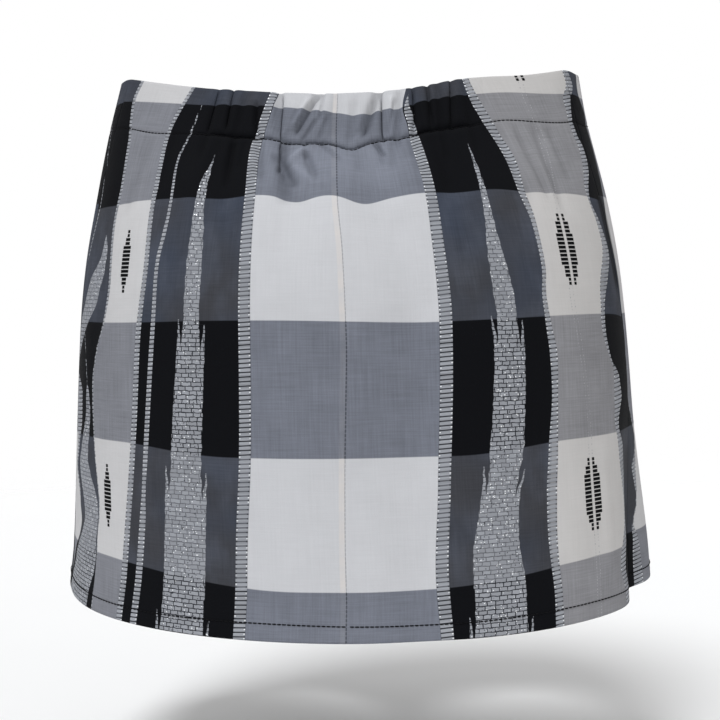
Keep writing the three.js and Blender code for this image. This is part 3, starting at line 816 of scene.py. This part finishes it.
def tone(red, green, blue):
    # screen colour, 0 to 255, to the linear colour that a shader takes
    values = np.array([red, green, blue]) / 255
    return (*np.where(values <= 0.04045, values / 12.92, ((values + 0.055) / 1.055) ** 2.4), 1.0)


class Wire:
    # a value in a material; arithmetic with wires and plain numbers adds the maths nodes by itself

    def __init__(self, bench, socket):
        self.bench = bench
        self.socket = socket

    def __add__(self, other):
        return self.bench.calc("ADD", self, other)

    def __sub__(self, other):
        return self.bench.calc("SUBTRACT", self, other)

    def __rsub__(self, other):
        return self.bench.calc("SUBTRACT", other, self)

    def __mul__(self, other):
        return self.bench.calc("MULTIPLY", self, other)

    def __truediv__(self, other):
        return self.bench.calc("DIVIDE", self, other)

    def __abs__(self):
        return self.bench.calc("ABSOLUTE", self)

    __radd__ = __add__
    __rmul__ = __mul__


class NodeBench:
    # puts nodes into one material and links them

    def __init__(self, name):
        self.material = bpy.data.materials.new(name)
        self.material.use_nodes = True
        self.tree = self.material.node_tree
        self.shader = self.tree.nodes["Principled BSDF"]

    def add(self, kind, inputs, **settings):
        # one node, its inputs fed by name or by number
        node = self.tree.nodes.new(kind)
        for key, value in settings.items():
            setattr(node, key, value)
        self.feed(node, inputs)
        return node

    def feed(self, node, inputs):
        for key, value in inputs.items():
            if isinstance(value, Wire):
                self.tree.links.new(value.socket, node.inputs[key])
            else:
                node.inputs[key].default_value = value

    def wire(self, node, output=0):
        return Wire(self, node.outputs[output])

    def calc(self, operation, *values):
        return self.wire(self.add("ShaderNodeMath", dict(enumerate(values)), operation=operation))

    def edge(self, value, at, soft):
        # 0 below the edge, 1 above it, smooth over twice "soft"
        ends = {"Value": value, "From Min": at - soft, "From Max": at + soft}
        return self.wire(self.add("ShaderNodeMapRange", ends, interpolation_type="SMOOTHSTEP"))

    def blend(self, factor, low, high, mode="MIX"):
        inputs = {0: factor, 6: low, 7: high}
        return self.wire(self.add("ShaderNodeMix", inputs, data_type="RGBA", blend_type=mode), 2)

    def tint(self, colour, shade):
        # a colour made lighter or darker by a number
        return self.blend(1.0, colour, self.vector(shade, shade, shade), "MULTIPLY")

    def level(self, factor, low, high):
        # a number between low and high
        return self.wire(self.add("ShaderNodeMix", {0: factor, 2: low, 3: high}, data_type="FLOAT"))

    def read(self, name):
        stored = self.wire(self.add("ShaderNodeAttribute", {}, attribute_name=name), "Vector")
        split = self.add("ShaderNodeSeparateXYZ", {0: stored})
        return [Wire(self, socket) for socket in split.outputs]

    def place(self):
        return self.wire(self.add("ShaderNodeTexCoord", {}), "Object")

    def vector(self, x, y, z=0.0):
        return self.wire(self.add("ShaderNodeCombineXYZ", {0: x, 1: y, 2: z}))

    def noise(self, vector, scale, detail=2.0):
        inputs = {"Vector": vector, "Scale": scale, "Detail": detail}
        return self.wire(self.add("ShaderNodeTexNoise", inputs))

    def speck(self, vector):
        # one random number for each whole-number cell
        return self.wire(self.add("ShaderNodeTexWhiteNoise", {"Vector": vector}, noise_dimensions="3D"))

    def threads(self, across, down, pitch):
        # the two yarns' ups and downs: a sine across times a sine down
        turns = 2 * math.pi / pitch
        return self.calc("SINE", across * turns) * self.calc("SINE", down * turns)

    def dress(self, height, distance, strength, looks):
        # the shader's own inputs and its relief
        inputs = {"Strength": strength, "Distance": distance, "Height": height}
        self.feed(self.shader, {**looks, "Normal": self.wire(self.add("ShaderNodeBump", inputs))})
        return self.material


# painted light among these colours: the white and grey side copies, toned as the light falls on the sides;
# the slate's sheen; and the near-white glint on the silver
checkCloth = {
    "white": tone(207, 208, 212), "whitePaintedSideLight": tone(203, 201, 200), "grey": tone(120, 124, 135),
    "greyPaintedSideLight": tone(143, 143, 147), "slate": tone(65, 71, 84), "slateWarm": tone(66, 67, 72),
    "slatePaintedSheen": tone(88, 93, 105), "black": tone(13, 14, 18), "silver": tone(160, 163, 170),
    "silverDark": tone(32, 34, 40), "paintedGlint": tone(250, 252, 255), "figure": tone(10, 11, 13),
    "pressed": tone(222, 216, 212), "thread": 0.5, "heather": 0.42, "crease": 4.5, "hang": 3.0,
    "ladderPitch": 2.42, "brickPitch": 2.35, "brickLength": 4.4, "brickSway": 1.1, "mortar": 0.29,
    "figurePitch": 2.3, "figureGap": 1.05, "figureReach": 14.0, "trackHalf": 1.35, "dotPitch": 1.7,
    "seamDash": 2.3, "relief": 0.00022,
}


def weaveCheck():
    bench = NodeBench("handwoven check")
    calc, edge, blend, level, vector = bench.calc, bench.edge, bench.blend, bench.level, bench.vector
    noise, speck, tint, look = bench.noise, bench.speck, bench.tint, checkCloth
    across, down, _ = bench.read("place")
    blackIn, weftIn, gathered = bench.read("weave")
    ladderX, ladderHalf, ladderOut = bench.read("ladder")
    brickX, stepped, brickOut = bench.read("brick")
    figureX, figureY, figureAway = bench.read("figure")
    figureTwin, figureLength, trackX = bench.read("figureSize")
    # the fold attribute holds the painted crease and seam shade, and the distance from the centre seam
    paintedCreaseShade, seamX, _ = bench.read("fold")
    spread = vector(across, down)

    # plain checks of white and black yarn; the dark cloth is cooler, with a painted sheen in streaks
    dark = edge(weftIn, 0.0, 0.35)
    black = edge(blackIn, 0.0, 0.25)
    broad = noise(spread, 0.018) + edge(down, 225.0, 25.0) * 0.14
    # painted sheen: lighter, bluer streaks on the slate
    streaks = noise(vector(across * 0.06, down * 0.028, 9.0), 1.0, 3.0)
    slate = blend(edge(broad, 0.5, 0.2), look["slate"], look["slateWarm"])
    slate = blend(edge(streaks, 0.57, 0.14) * 0.38, slate, look["slatePaintedSheen"])
    # painted light: towards the sides, the right more than the left, the white and grey take copies toned as
    # the light falls there
    paintedSideLight = calc("MAXIMUM", edge(across, 100.0, 25.0), edge(across, -100.0, -25.0) * 0.5)
    white = blend(paintedSideLight, look["white"], look["whitePaintedSideLight"])
    grey = blend(paintedSideLight, look["grey"], look["greyPaintedSideLight"])
    cloth = blend(black, blend(dark, white, grey), blend(dark, slate, look["black"]))

    # slubs along weft and warp, and a broad unevenness; stronger where the two yarns differ
    weftSlub = noise(vector(across * 0.05, down * 1.3), 1.0, 3.0)
    warpSlub = noise(vector(across * 1.1, down * 0.035), 1.0, 3.0)
    mixed = 1 - abs(dark + black - 1)
    slubs = weftSlub + warpSlub - 1
    cloudy = noise(spread, 0.05, 3.0) - 0.5
    uneven = slubs * level(mixed, 0.1, look["heather"]) + cloudy * level(mixed, 0.1, 0.3)
    over = bench.threads(across, down, look["thread"])
    shade = 1 + uneven + over * level(mixed, 0.02, 0.08)

    # painted shade: a little darker on the gathered casing and in creases; painted light on ridges and where
    # the cloth puffs below the casing
    # the part above the stitch line, where the gathered casing gets painted shade
    casing = 1 - edge(down, skirt["casing"], 3.0)
    paintedPuffHighlight = edge(down, 40.0, 6.0) * (1 - edge(down, 72.0, 12.0)) * (1 - edge(abs(across), 44.0, 16.0))
    shade = shade - casing * level(gathered, 0.0, 0.05) + paintedPuffHighlight * 0.2
    cloth = tint(cloth, shade * (1 - paintedCreaseShade * 0.34))

    # the centre seam: its turned-in cloth shows through as a pale strip, with small dark stitches
    worn = edge(noise(vector(0.0, down * 0.12), 1.0), 0.4, 0.4)
    pressed = edge(seamX, -3.2, 0.5) * (1 - edge(seamX, -0.3, 0.2)) * level(dark, 0.75, 0.08) * worn
    cloth = blend(pressed, cloth, look["pressed"])
    seamDash = edge(calc("FRACT", down / look["seamDash"]), 0.35, 0.1) * (1 - edge(abs(seamX), 0.4, 0.15))
    cloth = blend(seamDash * level(dark, 0.12, 0.5), cloth, look["silverDark"])

    # silver ladders: pale rungs, dark between them, with painted glints at their ends; finer on the narrow
    # ones
    ladder = 1 - edge(ladderOut, 0.0, 0.15)
    rungPlace = down / look["ladderPitch"] + ladderX * 0.03
    rungPhase = calc("FRACT", rungPlace)
    rungNumber = calc("FLOOR", rungPlace)
    between = 1 - edge(abs(rungPhase - 0.5), 0.14, 0.07)
    rung = tint(look["silver"], level(speck(vector(7.0, rungNumber)), 0.82, 1.08))
    rung = blend(between * level(dark, 0.68, 0.95), rung, blend(0.6, cloth, look["silverDark"]))
    broadLadder = edge(ladderHalf, 1.9, 0.6)
    atEdge = edge(ladderOut + calc("MINIMUM", ladderHalf * 0.4, 0.8), 0.0, 0.15)
    rung = blend(atEdge * between * level(broadLadder, 0.5, 0.85), rung, look["silverDark"])
    # painted glints: near-white spots at some rung ends
    glint = edge(speck(vector(calc("SIGN", ladderX), rungNumber, 3.0)), 0.62, 0.3)
    rungEnd = 1 - edge(abs(rungPhase - 0.95), 0.2, 0.08)
    ladderPaintedGlint = atEdge * rungEnd * glint * level(broadLadder, 0.55, 1.0)
    rung = blend(ladderPaintedGlint, rung, look["paintedGlint"])

    # brick-like silver stripe; it steps out at even places, where a dark slot parts off a side spike
    sideOf = calc("SIGN", brickX)
    since = down - brickSteps["first"] - sideOf * 1.4
    steps = calc("MAXIMUM", calc("FLOOR", since / brickSteps["pitch"]) + 1, 0.0) * stepped
    below = calc("WRAP", since, brickSteps["pitch"], 0.0) + edge(since * -1, 0.0, 0.01) * 99
    ragged = noise(vector(sideOf * 9, down * 0.2), 1.0) - 0.5
    outline = brickOut - steps * brickSteps["rise"] + ragged * 1.8
    spikeWide = 0.45 + below * 0.125
    slotHalf = (3 - below * 0.2) * 0.5
    slot = 1 - edge(abs(outline + spikeWide + slotHalf) - slotHalf, 0.0, 0.15)
    slot = slot * stepped * (1 - edge(below, 15.0, 0.3))
    brick = (1 - edge(outline, 0.0, 0.2)) * (1 - slot)
    sway = (noise(spread, 0.35, 1.0) - 0.5) * look["brickSway"]
    bricks = bench.add("ShaderNodeTexBrick", {
        "Vector": vector(across + sway, down + sway), "Scale": 1.0, "Mortar Size": look["mortar"],
        "Brick Width": look["brickLength"], "Row Height": look["brickPitch"], "Mortar Smooth": 0.5,
        "Bias": 0.0, "Color1": (0.82, 0.82, 0.82, 1), "Color2": (1.04, 1.04, 1.04, 1),
        "Mortar": (0.93, 0.93, 0.93, 1),
    }, offset=0.5, offset_frequency=2, squash=1.35, squash_frequency=3)
    mortar = bench.wire(bricks, "Fac")
    brickTone = blend(1.0, look["silver"], bench.wire(bricks, "Color"), "MULTIPLY")
    brickGap = blend(level(dark, 0.35, 0.85), cloth, look["silverDark"])
    patchy = 0.45 + noise(spread, 0.5)
    brickTone = blend(mortar * level(dark, 0.68, 1.3) * patchy, brickTone, brickGap)
    fleck = speck(vector(calc("FLOOR", across / 0.6), calc("FLOOR", down / (look["brickPitch"] / 4)), 7.0))
    # painted glints: near-white specks on the bricks, gathered in clusters
    cluster = edge(noise(vector(across, down, 3.0), 0.06, 1.0), 0.58, 0.06)
    brickPaintedGlint = edge(fleck + cluster * 0.022, 0.982, 0.006) * (1 - mortar)
    brickTone = blend(brickPaintedGlint, brickTone, look["paintedGlint"])
    brickTone = blend((1 - edge(fleck, 0.02, 0.005)) * 0.8, brickTone, look["silverDark"])

    # small stepped figures of black rows, in one or two columns, and the dotted tracks between them
    row = figureY / look["figurePitch"]
    taper = 1 - abs(calc("FLOOR", row) + 0.5) / (figureLength / look["figurePitch"])
    rowHalf = 0.95 + edge(taper, 0.22, 0.01) * 0.95 + edge(taper, 0.5, 0.01) * level(figureTwin, 1.3, 0.75)
    columnX = abs(abs(figureX) - figureTwin * (rowHalf + look["figureGap"]))
    rowBody = 1 - edge(abs(calc("FRACT", row) - 0.5), 0.39, 0.06)
    apart = edge(figureAway, look["figureReach"], 0.5)
    figureRows = edge(rowHalf - columnX, 0.0, 0.15) * rowBody * edge(taper, 0.0, 0.01) * (1 - apart)
    dotPlace = down / look["dotPitch"]
    dot = speck(vector(calc("SIGN", trackX), calc("FLOOR", dotPlace), 5.0))
    clear = calc("MAXIMUM", edge(taper * -1, 0.03, 0.01), apart)
    dot = dot * edge(calc("FRACT", dotPlace), 0.5, 0.1) * clear * level(dark, 0.65, 0.45)
    track = (1 - edge(abs(abs(trackX) - look["trackHalf"]), 0.25, 0.15)) * dot

    colour = blend(track, cloth, blend(dark, look["grey"], look["white"]))
    colour = blend(brick, colour, brickTone)
    colour = blend(ladder, colour, rung)
    colour = blend(figureRows, colour, look["figure"])
    lurex = calc("MAXIMUM", ladder * ladderPaintedGlint, brick * brickPaintedGlint)
    rough = level(lurex, level(calc("MAXIMUM", ladder, brick), 0.85, 0.6), 0.3) + uneven * 0.3

    # threads, slubs, raised silver, the fine creases that the gathers leave and the cloth's soft hang
    creases = noise(vector(across * 0.2, down * 0.03, 4.0), 1.0)
    hang = noise(vector(across * 0.05, down * 0.018, 6.0), 1.0)
    height = over * 0.08 + slubs * 0.3 + ladder * (0.9 - between) + brick * (0.9 - mortar * 0.6)
    height = height + figureRows * 0.9 + gathered * look["crease"] * creases + hang * look["hang"]
    return bench.dress(height, look["relief"], 0.85, {
        "Base Color": colour, "Roughness": rough, "Metallic": lurex * 0.3, "Specular IOR Level": 0.08,
        "Sheen Weight": 0.01,
    })


def plainCloth(name, base, thread, rough):
    # a plain weave with slubs and a little wear
    bench = NodeBench(name)
    across, down, _ = bench.read("place")
    slub = bench.noise(bench.vector(across * 0.04, down * 0.9), 1.0, 3.0)
    wear = bench.noise(bench.vector(across, down), 0.05, 3.0)
    wave = bench.threads(across, down, thread)
    shade = 0.82 + slub * 0.2 + wear * 0.2 + wave * 0.08
    return bench.dress(wave * 0.4 + slub, 0.00015, 0.7, {
        "Base Color": bench.tint(base, shade), "Roughness": rough + slub * 0.1,
        "Specular IOR Level": 0.25, "Sheen Weight": 0.1,
    })


def threadFinish(name, base):
    # twisted sewing thread: fine plies by the object's own place
    bench = NodeBench(name)
    twist = bench.noise(bench.place(), 2600.0)
    return bench.dress(twist, 0.0001, 0.6, {
        "Base Color": bench.tint(base, 0.7 + twist * 0.6), "Roughness": bench.level(twist, 0.6, 0.9),
        "Specular IOR Level": 0.12,
    })


clothFinish = weaveCheck()
shortsFinish = plainCloth("plain black cotton", tone(30, 31, 36), 0.6, 0.8)
elasticFinish = plainCloth("white ribbed elastic", tone(226, 225, 220), 1.1, 0.7)
darkThread = threadFinish("charcoal sewing thread", tone(13, 13, 16))
print("cloth, elastic and thread finishes made")

for piece in (backRight, backLeft, frontPiece):
    piece.data.materials.append(clothFinish)
for piece in (shortsRight, shortsLeft):
    piece.data.materials.append(shortsFinish)
elasticPiece.data.materials.append(elasticFinish)
for piece in threads:
    piece.data.materials.append(darkThread)

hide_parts("back_right")
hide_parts("back_left")
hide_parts("front")
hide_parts("waist_elastic")
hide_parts("shorts_right")
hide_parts("shorts_left")
for piece in (backRight, backLeft, frontPiece, elasticPiece, shortsRight, shortsLeft, *threads):
    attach(piece, "root")

print("pieces finished and hung")

studio = {
    "floor": -0.42, "floorSize": 4.0, "clearTo": 1.2, "fade": 0.9, "near": 0.40, "far": 1.0,
    "key": 1.99, "fill": 2.2, "back": 5.0, "aim": -0.15,
}


def makeFloor():
    # a wide flat disc below the hem, fading out softly towards its rim
    count = 96
    angle = np.linspace(0, 2 * np.pi, count + 1)[:-1]
    rim = np.stack([np.cos(angle), np.sin(angle), 0 * angle], -1) * studio["floorSize"] / metre
    points = np.concatenate([[[0, 0, 0]], rim]) + [0, 0, studio["floor"] / metre]
    k = np.arange(count)
    floor = makeObject("floor", points, np.stack([0 * k, k + 1, (k + 1) % count + 1], -1), shade=False)
    bench = NodeBench("pale floor")
    place = bench.place()
    away = bench.wire(bench.add("ShaderNodeVectorMath", {0: place}, operation="LENGTH"), "Value")
    bench.feed(bench.shader, {
        "Base Color": bench.blend(bench.noise(place, 3.0), tone(246, 246, 246), tone(250, 250, 250)),
        "Alpha": 1 - bench.edge(away, studio["clearTo"], studio["fade"]), "Roughness": 0.9,
    })
    floor.data.materials.append(bench.material)


def addLight(name, kind, place, strength, size, tint):
    # a broad lamp that looks at the middle of the garment
    light = bpy.data.lights.new(name, kind)
    light.energy = strength
    light.color = tint
    if kind == "SUN":
        light.angle = size
    else:
        light.shape = "DISK"
        light.size = size
    lamp = bpy.data.objects.new(name, light)
    lamp.location = place
    x, y, z = np.array([0, 0, studio["aim"]]) - np.array(place)
    lamp.rotation_euler = (math.acos(-z / math.sqrt(x * x + y * y + z * z)), 0, math.atan2(-x, y))
    bpy.context.scene.collection.objects.link(lamp)


makeFloor()
addLight("key light", "SUN", (-0.46, -1.0, 1.75), studio["key"], 0.4, (0.97, 0.985, 1.0))
addLight("fill light", "AREA", (1.3, -1.4, 0.35), studio["fill"], 1.4, (1.0, 0.95, 0.88))
addLight("back light", "AREA", (0.3, 1.8, 1.2), studio["back"], 1.6, (1.0, 1.0, 1.0))
world = bpy.data.worlds.new("studio")
world.use_nodes = True
sky = world.node_tree
backdrop = sky.nodes["Background"]
direction = sky.nodes.new("ShaderNodeTexCoord")
split = sky.nodes.new("ShaderNodeSeparateXYZ")
ramp = sky.nodes.new("ShaderNodeMapRange")    # brighter behind the gathered back than before it
ramp.interpolation_type = "SMOOTHSTEP"
bounds = {"From Min": 0.6, "From Max": 0.92, "To Min": studio["near"], "To Max": studio["far"]}
for key, value in bounds.items():
    ramp.inputs[key].default_value = value
sky.links.new(direction.outputs["Generated"], split.inputs[0])
sky.links.new(split.outputs["Y"], ramp.inputs["Value"])
sky.links.new(ramp.outputs["Result"], backdrop.inputs["Strength"])
backdrop.inputs["Color"].default_value = (1, 1, 1, 1)
bpy.context.scene.world = world

view = {
    "distance": 0.8, "azimuth": 3.0, "height": -0.153, "roll": 0.65, "lens": 64.5,
    "shiftX": 0.0028, "shiftY": -0.0486,
}
cameraData = bpy.data.cameras.new("camera")
cameraData.lens = view["lens"]
cameraData.sensor_width = 36.0
cameraData.shift_x = view["shiftX"]
cameraData.shift_y = view["shiftY"]
camera = bpy.data.objects.new("camera", cameraData)
turned = math.radians(view["azimuth"])
camera.location = (view["distance"] * math.sin(turned), -view["distance"] * math.cos(turned), view["height"])
camera.rotation_mode = "QUATERNION"
upright = Quaternion((0, 0, 1), turned) @ Quaternion((1, 0, 0), math.radians(90))
camera.rotation_quaternion = upright @ Quaternion((0, 0, 1), math.radians(-view["roll"]))
bpy.context.scene.collection.objects.link(camera)
bpy.context.scene.camera = camera
bpy.context.scene.view_settings.view_transform = "Standard"
print("camera and lights set")
